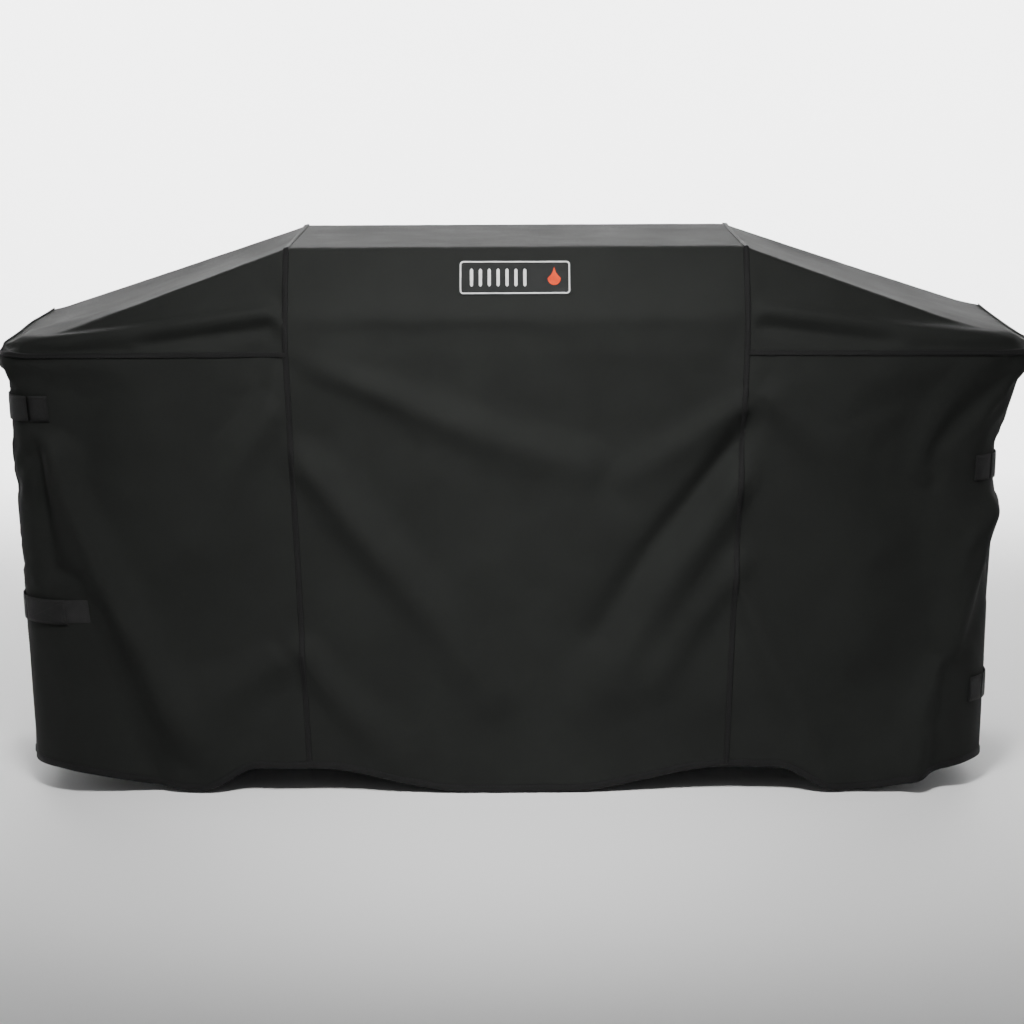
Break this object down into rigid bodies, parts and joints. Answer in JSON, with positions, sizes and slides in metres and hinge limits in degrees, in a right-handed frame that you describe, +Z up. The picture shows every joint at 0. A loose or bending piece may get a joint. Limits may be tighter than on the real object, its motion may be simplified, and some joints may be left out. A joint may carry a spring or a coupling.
{
  "type": "grill cover",
  "caption": "Fitted fabric cover for a wide gas grill, with a raised middle over the lid, sloped shoulders over the side shelves, a scalloped open hem and hook-and-loop straps at the ends.",
  "frame": {"origin": "on the floor under the middle of the cover", "axes": "+X along the length to the right as seen from the front, +Y to the back, +Z up; the front faces -Y"},
  "size_m": [1.804, 0.664, 0.9999],
  "materials": {
    "cover_fabric": "coated woven polyester, charcoal",
    "seam_binding": "woven binding tape, black",
    "webbing": "flat polyester webbing, dark grey",
    "hook_tape": "hook tape, black",
    "loop_tape": "loop tape, black",
    "label": "woven label, dark grey"
  },
  "bodies": {
    "root": {"centre_panel": "cover_fabric", "hem_tape": "seam_binding", "label_patch": "label", "left_back_shoulder_seam": "seam_binding", "left_back_skirt": "cover_fabric", "left_centre_seam": "seam_binding", "left_end_panel": "cover_fabric", "left_end_seam": "seam_binding", "left_front_shoulder_seam": "seam_binding", "left_front_skirt": "cover_fabric", "left_lower_loop_pad": "loop_tape", "left_lower_strap_anchor": "webbing", "left_shoulder_panel": "cover_fabric", "left_upper_loop_pad": "loop_tape", "left_upper_strap_anchor": "webbing", "right_back_shoulder_seam": "seam_binding", "right_back_skirt": "cover_fabric", "right_centre_seam": "seam_binding", "right_end_panel": "cover_fabric", "right_end_seam": "seam_binding", "right_front_shoulder_seam": "seam_binding", "right_front_skirt": "cover_fabric", "right_lower_loop_pad": "loop_tape", "right_lower_strap_anchor": "webbing", "right_shoulder_panel": "cover_fabric", "right_upper_loop_pad": "loop_tape", "right_upper_strap_anchor": "webbing"},
    "left_lower_strap_tip_body": {"left_lower_hook_pad": "hook_tape", "left_lower_strap_tip": "webbing"},
    "left_lower_strap_body": {"left_lower_strap": "webbing"},
    "left_upper_strap_tip_body": {"left_upper_hook_pad": "hook_tape", "left_upper_strap_tip": "webbing"},
    "left_upper_strap_body": {"left_upper_strap": "webbing"},
    "right_lower_strap_tip_body": {"right_lower_hook_pad": "hook_tape", "right_lower_strap_tip": "webbing"},
    "right_lower_strap_body": {"right_lower_strap": "webbing"},
    "right_upper_strap_tip_body": {"right_upper_hook_pad": "hook_tape", "right_upper_strap_tip": "webbing"},
    "right_upper_strap_body": {"right_upper_strap": "webbing"}
  },
  "joints": [
    {"name": "left_upper_strap_swing", "type": "hinge", "parent": "root", "child": "left_upper_strap_body", "pos_m": [-0.85662, -0.32441, 0.722], "axis": [-0.0655, -0.0637, 0.9958], "range_deg": [0, 95]},
    {"name": "left_upper_tip_peel", "type": "hinge", "parent": "left_upper_strap_body", "child": "left_upper_strap_tip_body", "pos_m": [-0.89694, -0.15866, 0.722], "axis": [-0.0053, -0.0324, 0.9995], "range_deg": [0, 90]},
    {"name": "left_lower_strap_swing", "type": "hinge", "parent": "root", "child": "left_lower_strap_body", "pos_m": [-0.89496, -0.08501, 0.35], "axis": [0.0053, 0.0324, -0.9995], "range_deg": [0, 95]},
    {"name": "left_lower_tip_peel", "type": "hinge", "parent": "left_lower_strap_body", "child": "left_lower_strap_tip_body", "pos_m": [-0.88276, -0.26321, 0.35], "axis": [0.0469, 0.0432, -0.998], "range_deg": [0, 90]},
    {"name": "right_upper_strap_swing", "type": "hinge", "parent": "root", "child": "right_upper_strap_body", "pos_m": [0.84249, -0.29372, 0.606], "axis": [-0.0389, 0.0467, -0.9982], "range_deg": [0, 95]},
    {"name": "right_upper_tip_peel", "type": "hinge", "parent": "right_upper_strap_body", "child": "right_upper_strap_tip_body", "pos_m": [0.85637, -0.11591, 0.606], "axis": [0.0078, 0.0324, -0.9994], "range_deg": [0, 90]},
    {"name": "right_lower_strap_swing", "type": "hinge", "parent": "root", "child": "right_lower_strap_body", "pos_m": [0.84673, -0.24651, 0.19], "axis": [-0.033, 0.0427, -0.9985], "range_deg": [0, 95]},
    {"name": "right_lower_tip_peel", "type": "hinge", "parent": "right_lower_strap_body", "child": "right_lower_strap_tip_body", "pos_m": [0.85962, -0.06843, 0.19], "axis": [0.0078, 0.0324, -0.9994], "range_deg": [0, 90]}
  ]
}
